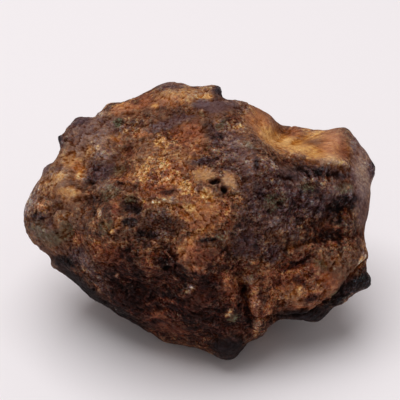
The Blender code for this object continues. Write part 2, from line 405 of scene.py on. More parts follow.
def ledge(line, reach, edge=0.5):
    """A drop on the right of a line: 0 to 1 over the edge's width, then fading by exp(-d / reach)."""
    across = line_distance(line, placed)
    ends = np.minimum(np.linalg.norm(placed - line[0], axis=1), np.linalg.norm(placed - line[-1], axis=1))
    fade = np.where(np.abs(across) > ends - SAME_PLACE, np.exp(-(ends / LEDGE_END) ** 2), 1)
    drop = smoothstep(-edge, edge, across) * np.exp(-np.maximum(across, 0) / reach)
    return drop * fade * in_front


# Ledges run so that the sunken side is on the right of the direction of travel
LEDGES = {
    "saddle_rim": (((12.7, 30.6), (17.6, 24.1), (24.1, 19.3), (28.3, 17.6), (35.4, 16.4),
                    (41.9, 14.7)), 3.0, 0.7),
    "crown_line": (((-28.3, 29.7), (-19.8, 26.9), (-9.9, 28.3), (-2.8, 31.7), (12.7, 32.9)), 2.5, 0.5),
    "crumb_ledge": (((-18.5, 6.5), (-12, 5.2), (-6.2, 4.4), (-3, 1.2)), 2.5, 0.8),
    "lobe_step": (((42.5, -5.1), (31.2, -6.8), (23.5, -9.1), (15.6, -14.7)), 2.5, 0.9),
    "belly_turn": (((-26.9, -11.9), (-14.2, -13.6), (-6, -12.5), (-3, -16), (4.2, -15.6)), 3.0, 0.6),
    "lobe_edge": (((45.9, -11.9), (42.5, -15.6), (36.8, -22.7), (28.3, -26.8),
                   (18.4, -27.2))[::-1], 2.5, 1.5),
    "jaw_line": (((-24.9, -22.7), (-29.7, -11.9), (-35.4, -3.4))[::-1], 3.0, 0.9),
    "dark_ledge_high": (((11, 12), (20, 13.5), (30, 10.5), (41, 11)), 2.2, 0.4),
    "dark_ledge_low": (((12, 1.5), (21, 3), (30, 0.5), (42, 1)), 2.4, 0.35),
    "centre_lip": (((-7, 11), (-1, 9.5), (3, 7), (9, 7.5)), 2.0, 0.4),
    "brow_ledge": (((-33, 13), (-27, 16), (-22, 20)), 2.2, 0.4),
    "belly_rib_1": (((-13, -22.3), (-8, -21.5), (-3, -23)), 1.2, 0.4),
    "belly_rib_2": (((-18, -25), (-12, -24), (-7, -25.5)), 1.2, 0.45),
    "belly_rib_3": (((-17, -28.5), (-11, -27.5), (-6, -29)), 1.2, 0.45),
    "belly_rib_4": (((-14, -31.5), (-9, -30.5), (-4, -32)), 1.2, 0.4),
    "cheek_ledge": (((-44, 3), (-37, 6.5), (-30, 7)), 2.2, 0.4),
}

# Mounds are above 0 and pits below: centre, reach, turn, height in mm
MOUNDS = {
    "orange_blob": ((-1.1, -9.6), (5.6, 5.2), 0, 1.3),
    "pebble": ((5.4, -4.5), (1.9, 1.3), 0, 1.1),
    "lump": ((9.3, -26.1), (1.9, 1.7), 0, 1.3),
    "knob": ((7.4, -35.4), (4.0, 3.2), 0, 0.9),
    "tan_left": ((1.2, 12.7), (3.6, 1.8), 5, 0.7),
    "tan_right": ((8.3, 10.8), (2.0, 3.1), 25, 0.9),
    "crown_corner": ((4.7, 36.7), (1.5, 1.3), 0, 0.7),
    "crown_notch": ((7.6, 35.3), (1.2, 1.3), 0, -0.7),
    "plate": ((3.5, 32.4), (5, 1.6), -3, 0.4),
    "brow_notch": ((-30.6, 29.2), (1.5, 1), 0, -0.5),
    "brow_peak": ((-34.5, 29.0), (2, 1.2), 15, 0.5),
    "flake": ((-40, 23.3), (0.8, 1.2), 0, 0.6),
    "crumb_row": ((-11, 5.0), (5, 0.9), 2, 0.3),
    "charcoal_pocket": ((-19, 4.0), (3.0, 2.3), 0, -0.3),
    "far_rim": ((26.8, 26.3), (4, 1.2), -8, 1.1),
    "lobe_rim": ((32, -29), (8, 2), 3, 0.7),
    "lobe_crest": ((16.0, -24.5), (1.5, 6.5), 10, 1.0),
    "rib_lump": ((8, -19.5), (2.2, 3), 0, 0.5),
    "lobe_valley": ((12.6, -21.5), (1.3, 6.0), 10, -1.0),
    "brow_knot": ((-24, 27.5), (2.6, 2.2), 0, 0.8),
    "orange_knot": ((-44.5, 3.5), (2.2, 1.8), 0, 0.7),
    "olive_knot": ((-25.5, -0.5), (2.0, 4.2), 0, 0.7),
    "glint_knot": ((33, -14.5), (2.4, 1.4), 15, 0.8),
    "right_pit": ((40, 2.5), (3.2, 2.4), 20, -1.0),
}

HOLES = (                # small and sharp pits, and at the end three raised crumbs
    ((4.1, 10.8), (1.4, 0.7), 5, -1.0), ((6.8, 8.5), (0.7, 1.1), 25, -1.0),
    ((12.5, -20), (0.7, 0.6), 0, -0.8), ((-9.5, -13.5), (1.2, 0.7), 20, -0.7),
    ((22.5, 4.5), (1.0, 0.6), 0, -0.8), ((-31, 10.5), (1.0, 0.8), 0, -0.8),
    ((28.5, -12), (1.6, 0.5), 25, -0.8), ((-13, 5.1), (0.8, 0.5), 0, 0.3),
    ((-11.5, 5.2), (0.5, 0.5), 0, 0.3), ((-10.2, 5.6), (0.9, 0.5), 0, 0.3),
)

FLAT_TOP = 4             # a spot this hard is nearly flat and ends quickly

named = sum(height * spot(centre, reach, turn) for centre, reach, turn, height in MOUNDS.values())
named += sum(height * spot(centre, reach, turn, FLAT_TOP) for centre, reach, turn, height in HOLES)
named -= sum(height * ledge(line, reach) for line, reach, height in LEDGES.values())
print("named relief, mm:", round(float(named.min()), 1), "to", round(float(named.max()), 1))

# %% [markdown]
# ## Rock relief
#
# The relief is a height along the surface's own normal. From coarse to fine it is: broken swells and lumps,
# flat chips with small steps between them, terraces where the stone split, rounded grains with joints,
# granules, short ridges, cracks and small pits. Bigger facets break up the hidden sides. A displaced noise
# texture would be shorter to write, but each of these needs its own profile. Worn and plated places are
# smooth, and the relief grows shallow towards the rim, which keeps the outline.

# %% Add up the relief
SMOOTH = (               # worn or plated places: centre, reach, turn
    ((17.5, 27.5), (6, 4), -45), ((28, 21.5), (10, 4), -16), ((38, 21), (5, 6), 0),
    ((4, 32), (6.5, 1.6), -3), ((1.4, 12.7), (3.8, 1.8), 5), ((8.4, 10.8), (1.8, 3), 25),
    ((8, -35.5), (4, 3), 0), ((46, 8), (2.5, 14), 3),
)
CALM = (                 # places of even colour: centre, reach, turn
    ((-4, 35), (10, 2.8), 3), ((-17, 32.5), (7, 2.5), 20), ((-1, -9.6), (5.5, 5), 0), ((-1, 25), (5, 4), 0),
    ((-8, 28), (8, 2), 8), ((1, 1), (5, 5), 0), ((-33, -18.9), (10, 2), -43), ((31, -27), (9, 2.4), 3),
    ((4.4, 10.8), (1.6, 1), 5), ((6.8, 9), (1, 2), 25), ((-38, 12), (7, 8), 0), ((-31, 25), (9, 5), 25),
    ((4, 32), (6.5, 2), -3), ((-42, -3), (6, 5), -30),
)
ROCK = {                 # size and height in mm
    "swells": (9, 0.3), "lumps": (3.6, 0.16), "chips": (5.5, 0.06), "small_chips": (2.6, 0.07),
    "facets": (15, 0.06), "terraces": (4.2, 0.14), "grains": (2.2, 0.3), "granules": (1.3, 0.45),
    "ridges": (1.5, 0.2), "cracks": (7, 0.3), "pits": (2.0, 0.5),
}
JOINT_WIDTH = 0.1        # cells
JOINT_DEPTH = 1 / 3      # of the grains' height
RIDGE_STRETCH = (0.6, 1, 1)      # ridges run a little along u
TERRACE_RUN = (0.15, 0.8)        # terraces rise mostly with v, a little with u
TERRACE_WAVE = (11, 3.2)         # mm, size and height of their waves
TERRACE_FLAT = 0.72      # share of a terrace before its quick rise
BROAD_ROUNDS = 400       # what this many rounds of smoothing leave is taken off, so the size stays
RIM_CALM = (0.6, 0.35)   # share of relief lost at the rim, and how far in it goes
SMOOTH_CALM = 0.75       # share of relief lost on smooth places
LIFT = 0.2               # mm, makes up for what rounding the facets took off
ABOVE_BASE = 1.5         # mm, height over which the relief starts above the flat base

calm = np.clip(sum(spot(centre, reach, turn, FLAT_TOP) for centre, reach, turn in CALM), 0, 1)
smooth = np.clip(sum(spot(centre, reach, turn, FLAT_TOP) for centre, reach, turn in SMOOTH), 0, 1)


def terraces(points, step, seed):
    """Split steps: a noisy height is cut in steps, flat with a quick rise at the end of each."""
    size, height = TERRACE_WAVE
    level = (points[:, :2] @ np.array(TERRACE_RUN) + height * fractal_noise(points, size, seed)) / step
    share = level - np.floor(level)
    return smoothstep(TERRACE_FLAT, 1.0, share) - share


def rock(name, make, points, seed, **more):
    """A named layer: its height times the noise of its size."""
    size, height = ROCK[name]
    return height * make(points, size, seed, **more)


def grains_with_joints(points, size, seed):
    """Rounded grains, 0.5 less the distance to the middle, with narrow joints where two are equally near."""
    nearest, second = cell_noise(points, size, seed)
    return 0.5 - nearest - JOINT_DEPTH * np.exp(-((second - nearest) / JOINT_WIDTH) ** 2)


def rock_relief(points):
    """Height in millimetres from all layers. Terraces, grains and granules only show in places, by a coarse
    noise of their own."""
    twisted = points + np.stack([fractal_noise(points, 5, seed) for seed in (61, 71, 81)], 1)
    total = rock("swells", fractal_noise, twisted, 101, layers=2)
    total += rock("lumps", fractal_noise, twisted, 104, layers=2)
    total += rock("chips", chipped, twisted, 105) + rock("small_chips", chipped, twisted, 106)
    total += rock("facets", chipped, twisted, 107) * (1 - in_front)
    total += rock("terraces", terraces, points, 111) * smoothstep(0.0, 0.5, gradient_noise(points, 9, 112))
    grains = rock("grains", grains_with_joints, twisted, 121)
    total += grains * smoothstep(-0.1, 0.5, gradient_noise(points, 9, 122))
    domes = np.clip(0.45 - cell_noise(points, ROCK["granules"][0], 131)[0], 0, 1) * ROCK["granules"][1]
    total += domes * smoothstep(-0.3, 0.3, gradient_noise(points, 6, 132))
    total -= np.abs(rock("ridges", gradient_noise, twisted * np.array(RIDGE_STRETCH), 135))
    size, depth = ROCK["cracks"]
    total -= depth * smoothstep(0.95, 1.0, 1 - np.abs(fractal_noise(twisted, size, 141, layers=3)))
    size, depth = ROCK["pits"]
    return total - depth * smoothstep(0.6, 0.9, gradient_noise(points, size, 151))


relief = rock_relief(body)
relief = relief - smoothed(relief, BROAD_ROUNDS)
calm_rim = 1 - RIM_CALM[0] * np.exp(-(facing / RIM_CALM[1]) ** 2)
relief = relief * (1 - SMOOTH_CALM * smooth) * calm_rim + named + LIFT
above_base = smoothstep(0.0, ABOVE_BASE, base_height)
surface = body + normals_of(body) * (relief * above_base)[:, None]
surface = to_stone(surface)
surface[:, 2] = np.maximum(surface[:, 2], 0)
print("relief, mm:", round(float(relief.min()), 2), "to", round(float(relief.max()), 2))

# %% [markdown]
# ## How far the iron has rusted
#
# The crust is nearly black with a purple tinge. As its iron rusts it turns maroon and rust red, or brown
# and yellow ochre, and where dust clings to it taupe and grey. Two numbers say this. The stage, from 0 to
# 1, goes from fresh crust to pale ochre. The warmth says which way: 0 is purple and grey, a half is brown
# and yellow, and 1 is red.
#
# The face is painted like a map. Broad patches come first and small ones over them, and each pulls both
# numbers towards its own finish, by its cover. A third mask, olive, marks green mineral grains. Three more
# say where fibres run, and one, busy, where grains stand out: less on plates, worn places and places of
# even colour. On the sides that no named patch reaches, noise and the shape decide. Bare noise all over
# would be simpler, but a stone is known by where its patches lie.

# %% The map of the face
FINISHES = {             # stage, warmth
    "black": (0.03, 0.3), "soot": (0.13, 0.2), "char": (0.06, 0.95), "ember": (0.4, 1.1),
    "purple": (0.27, 0.08), "plate": (0.4, 0.06), "umber": (0.22, 0.45), "maroon": (0.25, 0.85),
    "brown": (0.42, 0.5), "rust": (0.52, 1.05), "taupe": (0.47, 0.16), "dust": (0.66, 0.1),
    "orange": (0.67, 0.92), "ochre": (0.68, 0.5), "yellow": (0.82, 0.52), "lemon": (0.82, 0.42),
    # The last finish is a pale grey painted highlight, for the lit left rim
    "tan": (0.69, 0.4), "crumb": (0.95, 0.2), "frost": (0.88, 0.05),
}
GROUND = "brown"
COVER_POWER = 0.6        # a patch of cover c moves both numbers c to this power of the way
SOFT_EDGE = 3            # hardness of a patch's edge
CRISP = {"tan": 6, "plate": 6, "black": 5, "crumb": 5, "lemon": 5}      # harder edges

FACE_MAP = (             # finish, u, v, reach along and across, turn, cover
    # broad areas
    ("purple", 28, 4, 19, 10.5, 3, 0.85), ("maroon", 32, -4.5, 13, 4, 0, 0.6),
    # The two broad char patches over the lower face are dark crust, partly painted darker as the shade of the
    # underside
    ("char", 0, -24, 26, 12, -8, 0.75), ("char", -22, -20, 12, 8, -30, 0.8),
    ("taupe", -31, 23.5, 9, 6, 25, 0.8), ("ochre", -29, 20, 10, 4.5, 25, 0.25),
    ("orange", -10, 12, 10, 8, 0, 0.7), ("brown", -38, 6, 10, 10, 0, 0.7), ("rust", -3, 24, 8, 5, 0, 0.6),
    ("taupe", 9, 20, 8, 6, -30, 0.7), ("ember", 28, -17, 13, 8, -10, 0.7),
    # crown
    ("ochre", -4, 35.5, 9, 2.2, 3, 0.9), ("tan", -1, 35.4, 3.5, 1.4, 5, 0.9),
    ("yellow", 1.5, 34.7, 2.6, 0.8, 0, 0.9), ("orange", -9, 33.5, 5, 1.6, 10, 0.7),
    ("rust", -17, 33.2, 4.5, 2, 20, 0.8), ("umber", -18.5, 33, 1.8, 0.8, 25, 0.6),
    ("yellow", -12.7, 32.4, 1.3, 0.8, 0, 0.9), ("orange", -22, 31.5, 4, 1.6, 15, 0.7),
    ("taupe", -8, 38.2, 9, 0.9, 3, 0.8), ("soot", 5, 36.3, 1.7, 2.2, 0, 1),
    ("plate", 3.4, 32.3, 5.8, 1.9, -3, 1), ("plate", 9, 33, 3.5, 0.9, -15, 0.8),
    ("taupe", 12, 32.2, 4, 1.3, -22, 0.9), ("tan", 0.4, 31, 0.7, 0.6, 0, 0.9),
    ("tan", 4.8, 27.4, 1.6, 0.7, 10, 0.9), ("tan", 9, 27.6, 0.8, 0.5, 30, 0.3),
    ("plate", -5, 29, 4, 1.6, 5, 0.9), ("plate", -11, 26.5, 5, 1.6, 15, 0.8),
    ("maroon", 9.5, 28.7, 2.5, 1.2, 0, 0.7),
    # upper middle
    ("rust", -1, 25, 4.5, 3, 0, 0.85), ("rust", -6, 24, 2.5, 2, 0, 0.6),
    ("brown", -6.2, 19, 1.5, 1, 0, 0.6), ("orange", -1, 19.8, 2, 1, 0, 0.8),
    ("yellow", -11, 21.8, 3, 1.8, -30, 0.7), ("orange", -17, 24.3, 4, 1, 0, 0.7),
    ("purple", 3.5, 25, 2.4, 4, 30, 0.8), ("tan", 11, 26.3, 2.2, 0.9, 20, 0.7),
    ("dust", 12.3, 28.5, 0.5, 1.6, 20, 0.6), ("dust", 13, 21, 3, 1.4, -30, 0.4),
    ("black", 5, 23.6, 1.8, 1, 0, 0.6), ("ochre", -5, 17.6, 4, 1.4, -20, 0.6),
    # saddle
    ("orange", 17, 27.8, 5.5, 3.2, -45, 0.95), ("yellow", 19.8, 23.7, 4, 2.2, -40, 0.9),
    ("yellow", 25, 21.5, 5, 2.6, -20, 1), ("black", 27, 26.6, 4.5, 0.7, -8, 1),
    ("yellow", 31, 19.6, 8, 2.2, -15, 1), ("yellow", 32, 24, 4, 1.6, 5, 0.8),
    ("rust", 26.5, 24.6, 2.5, 1.2, -10, 0.75), ("orange", 37.5, 21.5, 3.5, 4.5, 0, 0.9),
    ("rust", 41, 20, 1.8, 4.5, 0, 0.6), ("tan", 39, 16, 3, 1.1, -15, 0.7),
    # right strip
    ("dust", 46, 13, 3, 9, 8, 0.85), ("taupe", 46.2, 3, 1.8, 6, 5, 0.8),
    ("taupe", 45, 21.5, 2.5, 3.5, 40, 0.8), ("purple", 49, 14.5, 1.3, 2, 0, 0.8),
    ("tan", 46.4, -8, 0.8, 5, 3, 0.6),
    # dark face
    # The soot strips at (32, 13.7) and (39.5, 12.5), just under the saddle's rim, are dark crust partly
    # painted as the shadow under that ledge
    ("soot", 32, 13.7, 7, 1.4, -5, 1), ("soot", 39.5, 12.5, 3, 0.9, -5, 0.5),
    ("black", 40, 4.5, 5, 2.2, 15, 0.85), ("soot", 25, 12, 3, 1, 0, 0.6),
    ("taupe", 38, 8.5, 4, 1.7, 5, 0.5), ("dust", 30, 11, 3.2, 0.5, 15, 0.4),
    ("taupe", 22, 8.2, 4, 1.4, 10, 0.5), ("taupe", 22, -1, 7, 2.6, -5, 0.85),
    ("taupe", 27, -4, 4, 2.5, 0, 0.5), ("purple", 21, -9.5, 3.5, 3, 0, 0.9),
    ("maroon", 34, -3, 6, 3, 0, 0.6), ("ember", 38.5, -2.3, 3, 1, -20, 0.9),
    ("maroon", 41, 2, 2.2, 0.8, 30, 0.8), ("ember", 36, -7, 4, 0.7, 5, 0.8),
    ("rust", 42, 0.8, 1.5, 0.8, 0, 0.7), ("maroon", 43, -5, 3, 3.5, 0, 0.6),
    ("black", 36, -4.5, 3, 1, -10, 0.6), ("soot", 17, 7, 2, 1.2, 0, 0.7), ("soot", 22, 5, 2, 0.8, 0, 0.3),
    ("taupe", 16, 3, 3.5, 1.6, 20, 0.8), ("taupe", 12, 15.5, 4.5, 3, -30, 0.6),
    ("taupe", 20, 15.5, 4, 2, -10, 0.6), ("black", 16, 15.7, 0.8, 2, 0, 0.8),
    ("maroon", 24, 16.6, 3, 1.1, -25, 0.6),
    # centre
    ("tan", 1.4, 12.7, 3.8, 1.9, 5, 1), ("purple", 1, 16.6, 4.6, 1, 5, 0.9),
    ("tan", 8.4, 10.8, 1.7, 3.1, 25, 1), ("lemon", -4.2, 8.7, 2.1, 2.4, 0, 1),
    ("rust", -5.6, 5.8, 0.5, 1.8, -20, 0.8), ("orange", 0, 3, 6, 5.5, 0, 0.9),
    ("crumb", -3, 3.2, 1.4, 1.6, 0, 0.5), ("yellow", 2.5, 7, 3.4, 1.4, -10, 1),
    ("orange", 1, -1.5, 4, 1.8, 0, 0.8), ("ochre", 10.5, 6, 2, 1.4, 0, 0.6), ("rust", 7, 3, 3, 4, 0, 0.7),
    # The black spots at (4.1, 10.8) and (6.8, 8.4) lie in the two small pits and paint the shade inside them
    ("maroon", 8, -1.5, 1.6, 1.2, 0, 0.6), ("black", 4.1, 10.8, 1.5, 0.7, 5, 1),
    ("tan", 5.7, 9.9, 0.5, 0.6, 40, 0.3), ("black", 6.8, 8.4, 0.7, 1.0, 25, 1),
    ("taupe", -4, 12.4, 1.2, 1, 0, 0.6),
    # left of the centre
    ("ochre", -13, 15.5, 5, 3.2, -10, 0.85), ("orange", -9, 12.5, 3.5, 3.5, 0, 0.6),
    ("rust", -14, 8, 4, 1.4, 5, 0.85), ("maroon", -9, 7.8, 2.5, 0.8, 5, 1),
    ("maroon", -18.4, 8.8, 1.4, 1.2, 0, 0.7), ("crumb", -16.6, 5.7, 1.5, 0.3, -40, 0.6),
    ("crumb", -13, 5.1, 0.8, 0.4, 0, 0.9), ("crumb", -12.4, 5.7, 0.4, 0.3, 0, 0.8),
    ("crumb", -11.5, 5.2, 0.5, 0.4, 0, 0.9), ("crumb", -10.2, 5.6, 0.9, 0.4, 0, 1),
    ("tan", -8.4, 4.7, 2, 0.9, 0, 1), ("dust", -7.8, 5.9, 1.2, 0.6, 20, 1),
    ("rust", -15.5, 4.2, 2, 0.7, -30, 0.7), ("orange", -6, 2, 3, 2, -20, 0.7),
    ("purple", -12.5, -1.5, 6, 3.6, 0, 0.9), ("maroon", -12, -2, 5, 3, 0, 0.4),
    ("plate", -10, -3, 1.8, 1.6, 0, 0.5), ("soot", -19, 3.8, 2.4, 2.2, 0, 0.9),
    ("black", -18, 3, 1.2, 1.6, 30, 0.6), ("black", -19.6, -0.5, 2, 1.5, 0, 0.85),
    ("black", -15, -4, 3.5, 1.2, 0, 0.6),
    # left end
    ("ochre", -37, 17.5, 3.5, 2.6, 30, 0.8), ("orange", -34.5, 15, 2, 2.4, 30, 0.8),
    ("yellow", -40, 12, 3, 1.7, 0, 0.85), ("yellow", -34, 12.5, 2, 1.6, 0, 0.8),
    ("yellow", -37.5, 8, 3.2, 1.9, -10, 0.7), ("orange", -45, 4, 2.4, 1.4, -15, 0.85),
    # The dust patch at (-47.5, 6) and the pale patch at (-49, 6) paint a highlight along the left rim
    ("ochre", -43, 9.5, 3.5, 2.6, 40, 0.7), ("dust", -47.5, 6, 1.8, 6, -25, 0.9),
    ("frost", -49, 6, 0.8, 5, -25, 0.6), ("black", -45, 1, 2.2, 0.9, 0, 0.7),
    ("taupe", -44, -3, 4.5, 4, -30, 0.7), ("ochre", -38.5, 1, 2.5, 1.4, 0, 0.6),
    ("taupe", -44, 14.5, 1.8, 2, 0, 0.8), ("soot", -39.4, 22.5, 0.9, 2.2, 10, 0.8),
    ("purple", -34, 28, 3.6, 1.1, 15, 0.8), ("dust", -29, 29.6, 3, 0.7, 25, 0.7),
    ("yellow", -30, 19.5, 2.5, 1.5, 10, 0.6), ("orange", -23.5, 22.5, 2.5, 1, -20, 0.6),
    ("maroon", -20.2, 19.5, 1, 2, 0, 0.7), ("taupe", -27, 18.5, 3.5, 1.5, 0, 0.7),
    ("purple", -28, 14, 4.5, 2.7, 10, 0.9), ("black", -31, 11, 1.6, 1, 0, 0.3),
    ("rust", -22, 11.5, 3, 1.2, 10, 0.6), ("dust", -26.5, 9, 3, 1.5, 0, 0.5),
    ("umber", -29, 5.5, 4, 1.7, 0, 0.8), ("ember", -24, 2.5, 1.5, 3, 0, 0.8),
    ("crumb", -28.2, 1.7, 0.8, 1, 0, 0.7), ("yellow", -24.8, -3.3, 1, 0.9, 0, 0.9),
    ("black", -23, 27.3, 1.4, 1.2, 0, 0.8),
    # rust-red cheek and the jaw below it
    ("rust", -34.5, -5, 2, 2.2, 0, 0.8), ("ember", -27, -9, 5.5, 3, -15, 0.95),
    ("rust", -28, -8.5, 2, 1.4, 0, 0.5), ("char", -20, -9, 3, 3, 0, 0.5),
    ("purple", -34, -10.5, 3, 2.6, -40, 0.7), ("taupe", -30.5, -15, 7, 1.7, -60, 0.85),
    # The black bands from (-38, -11.7) to (-22, -26.5) follow the lower left rim, where the underside turns
    # away: dark crust, partly painted shade
    ("plate", -27, -20, 5, 1, -62, 0.7), ("black", -38, -11.7, 3.5, 1.5, -20, 0.95),
    ("black", -33, -18.9, 10, 1.7, -43, 1), ("black", -22, -26.5, 8, 1.3, -30, 0.9),
    # belly: dark crust, partly painted darker as the shade under the stone
    ("char", -20, -18.5, 7, 3.6, -20, 0.8), ("ember", -14, -12.5, 2.4, 3.2, 10, 0.6),
    ("ember", -12.5, -26.5, 3.6, 1, -5, 0.95), ("char", -15, -29, 2.6, 1, 0, 0.7),
    ("ember", -8, -30.5, 4.5, 2.4, 0, 0.45), ("ember", -13.5, -23, 3, 0.5, 20, 0.5),
    ("rust", -8.5, -23, 2.6, 0.5, -20, 0.8), ("ember", -14, -28, 3, 0.5, 18, 0.4),
    ("ember", -9, -28, 3, 0.5, -22, 0.5), ("maroon", -9, -19, 3, 1.8, 0, 0.7),
    ("maroon", -1, -22.5, 4, 2.5, 0, 0.5), ("char", -9, -12, 4, 3.6, 0, 1),
    ("char", 3, -17, 3, 1.4, 0, 0.5), ("char", 3, -27.5, 6, 3.4, 0, 0.7),
    ("dust", -23.4, -15.6, 0.8, 0.5, -10, 0.8), ("tan", 7.9, -25.8, 0.6, 1.3, -35, 0.9),
    ("taupe", 9.6, -27, 1.4, 1.6, 0, 0.6), ("soot", 10.2, -27.4, 1, 1.2, -30, 0.8),
    ("dust", -2.7, -19.4, 1.6, 1.1, 30, 1), ("crumb", -2.5, -19.2, 0.5, 0.5, 0, 0.8),
    # The thin taupe arc at (9.3, -33) on the black knob is a painted highlight
    ("black", 8, -35.5, 4.6, 3.2, 0, 1), ("taupe", 9.3, -33, 2, 0.35, -45, 0.3),
    # orange blob
    ("orange", -3.5, -8.5, 3, 3.8, 0, 0.95), ("ochre", -4.3, -8, 1.6, 2.4, 0, 0.6),
    ("ember", 1, -10, 4.5, 2.8, -15, 0.85), ("rust", 6, -11, 2, 1.5, -20, 0.8),
    ("orange", -0.5, -14, 2.2, 0.8, -5, 0.8), ("char", 7, -8.5, 1.6, 1.8, 0, 0.6),
    ("black", 2, -5.6, 2.4, 0.6, 5, 0.8), ("purple", 13, -7, 5, 5, 0, 0.7),
    ("char", 11, -12.5, 2.5, 1.4, 0, 0.6),
    # ribs and lobe
    ("rust", 8, -19, 3.5, 3.8, 0, 0.85), ("orange", 7, -15.8, 2, 1.1, -20, 0.6),
    ("dust", 13, -16.8, 3, 1.1, -10, 0.7), ("char", 12.5, -20, 1.4, 0.9, 0, 0.4),
    ("char", 12.5, -29, 2.5, 1.1, 0, 0.8), ("orange", 15.3, -22, 1.6, 4.2, 0, 1),
    ("rust", 15.8, -26, 1.1, 2.4, 20, 0.7), ("ochre", 16, -30.5, 1, 3, -20, 0.8),
    ("rust", 19, -25, 1.6, 4.6, -15, 0.85), ("maroon", 17.4, -22.5, 0.6, 4.5, 0, 0.9),
    ("ember", 22, -18.5, 2.5, 3, 0, 0.8), ("ochre", 26, -22, 6, 2.6, -10, 0.6),
    ("ochre", 27.5, -20, 2.5, 0.8, 0, 0.7), ("char", 25, -13.5, 3, 1.1, 20, 0.5),
    ("char", 29, -11.5, 3.2, 1.4, 30, 0.95), ("ochre", 32, -17.5, 9, 3, -20, 0.2),
    # The crumb spot at (33, -14.8) is a painted glint
    ("crumb", 33, -14.8, 0.7, 0.6, 0, 0.9), ("crumb", 28, -18.8, 0.6, 0.5, 0, 0.7),
    ("rust", 35.5, -17, 3.5, 1.8, -30, 0.8), ("orange", 33, -20.3, 2, 0.9, -10, 0.8),
    ("brown", 40, -13, 4.5, 2.8, -10, 0.7), ("brown", 38, -9.3, 7, 1.6, 5, 0.6),
    ("char", 28.5, -17.5, 2, 0.9, -20, 0.4), ("char", 31, -22, 2.4, 0.9, 20, 0.8),
    # The crumb spot at (45.2, -12) is a painted glint
    ("crumb", 45.2, -12, 0.5, 1.1, 0, 0.8), ("dust", 42, -17.5, 1.2, 1, 0, 0.7),
    # The black bands at (31, -27), (36, -24.8), (41, -20.8) and (42.5, -19) run along the lobe's lower rim,
    # where the underside turns away: dark crust, partly painted shade
    ("black", 47, -17.5, 1.8, 2.6, 0, 1), ("black", 31, -27, 9, 2.1, 3, 1),
    ("black", 42.5, -19, 5.5, 2.4, 38, 1), ("black", 36, -24.8, 5, 1.8, 28, 1),
    ("taupe", 42, -17.3, 1.4, 0.8, 40, 0.9), ("black", 41, -20.8, 5, 1.1, 35, 0.9),
    ("rust", 29, -24.5, 4, 0.6, -3, 0.6), ("maroon", 36, -23.5, 2.5, 1.1, 30, 0.8),
)

OLIVE = (                # green mineral grains: centre, reach, turn
    ((-23, 27.4), (2.2, 1.8), 0), ((-23, 14), (2.4, 2), 0), ((-25.5, 7.5), (3.6, 2.6), 0),
    ((-26.5, -2), (2.4, 2.6), 0), ((-20, 6), (1.6, 1.6), 0), ((-45, -3), (4, 3), -30),
    ((-38, -3), (3, 3), -40), ((5.5, -4.4), (1.5, 1.2), 0), ((9.4, -27), (1.6, 1.6), 0),
    ((6, 26.5), (1.6, 1.8), 0), ((0.6, 30), (1.2, 1), 0), ((34, -12.5), (3, 1.6), -20),
    ((38, -20.8), (3, 0.8), 25), ((40.5, 9), (2.6, 1.8), 0), ((14, 21), (3, 1.2), -30),
    ((-42, -6), (3, 2), -20), ((30.5, 9.5), (3.2, 2), 0), ((20.5, 5), (4.5, 3), 10),
)


HIDDEN_PATCH = 13        # mm, patches on the sides that no named patch reaches
FIBRE_PLACES = {         # where fibres run: centre, reach, turn, share
    "level": (((28, 3), (19, 10), 3, 0.7), ((0, -22), (26, 12), -8, 0.49)),
    "saddle": (((28, 22), (15, 6), -20, 0.75),), "upright": (((46, 8), (3, 14), 0, 1),),
}
MOST_LEVEL = 0.7


def hidden_masks(points, hollow):
    """Masks for the hidden sides: the stage is higher in hollows and lower towards the underside."""
    lean = [fractal_noise(points, HIDDEN_PATCH, 200 + 10 * number, layers=3) for number in range(3)]
    low = smoothstep(-8, -30, points @ np.array((0, math.cos(FACE_RISE), math.sin(FACE_RISE))))
    return {
        "stage": 0.45 + 0.36 * lean[0] + 0.2 * hollow - 0.2 * low,
        "warmth": 0.5 + 0.5 * lean[1],
        "olive": 0.7 * smoothstep(0.3, 0.7, lean[2]),
    }


broad_hollow = np.clip((smoothed(distance, 240) - distance) / 2.0, -1, 1)
masks = hidden_masks(body, broad_hollow)
for key, ground in zip(("stage", "warmth"), FINISHES[GROUND]):
    masks[key] += (ground - masks[key]) * in_front
for finish, u, v, along, across, turn, cover in FACE_MAP:
    share = cover ** COVER_POWER * spot((u, v), (along, across), turn, CRISP.get(finish, SOFT_EDGE))
    for key, goal in zip(("stage", "warmth"), FINISHES[finish]):
        masks[key] += (goal - masks[key]) * share
masks["olive"] *= 1 - in_front
masks["olive"] += sum(spot(centre, reach, turn, SOFT_EDGE) for centre, reach, turn in OLIVE)
for name, places in FIBRE_PLACES.items():
    masks[name] = sum(share * spot(centre, reach, turn, FLAT_TOP) for centre, reach, turn, share in places)
masks["level"] = np.minimum(masks["level"], MOST_LEVEL)
print({name: round(float(mask.mean()), 2) for name, mask in masks.items()})

# %% [markdown]
# ## Painted shade in crevices, painted light on crests
#
# The colour is painted darker in crevices, as painted shade, and paler on crests, as painted light. How deep
# a point lies is how far it is from the smoothed surface around it, along the normal. It is worked out at the
# size of grains and at the size of ledges, and both are kept as attributes. Ambient occlusion would shade the
# same places while rendering, but it doesn't make a crest lighter than flat ground.

# %% Depth attributes
DEPTHS = {"crevice": (6, 0.12), "ledge": (60, 0.5)}      # rounds of smoothing, depth in mm that counts as 1
BUSY = (0.95, 0.6, 8)    # mean, swing and size in mm of how much grains stand out
BUSY_LIMITS = (0.4, 1.4)
BUSY_LOST = (0.7, 0.45)  # shares lost on smooth and on calm places


def depth_below(points, rounds):
    """How far each point lies under the surface smoothed this many rounds, in millimetres."""
    mean = np.stack([smoothed(points[:, axis], rounds) for axis in range(3)], 1)
    return ((mean - points) * normals_of(points)).sum(axis=1) / MM


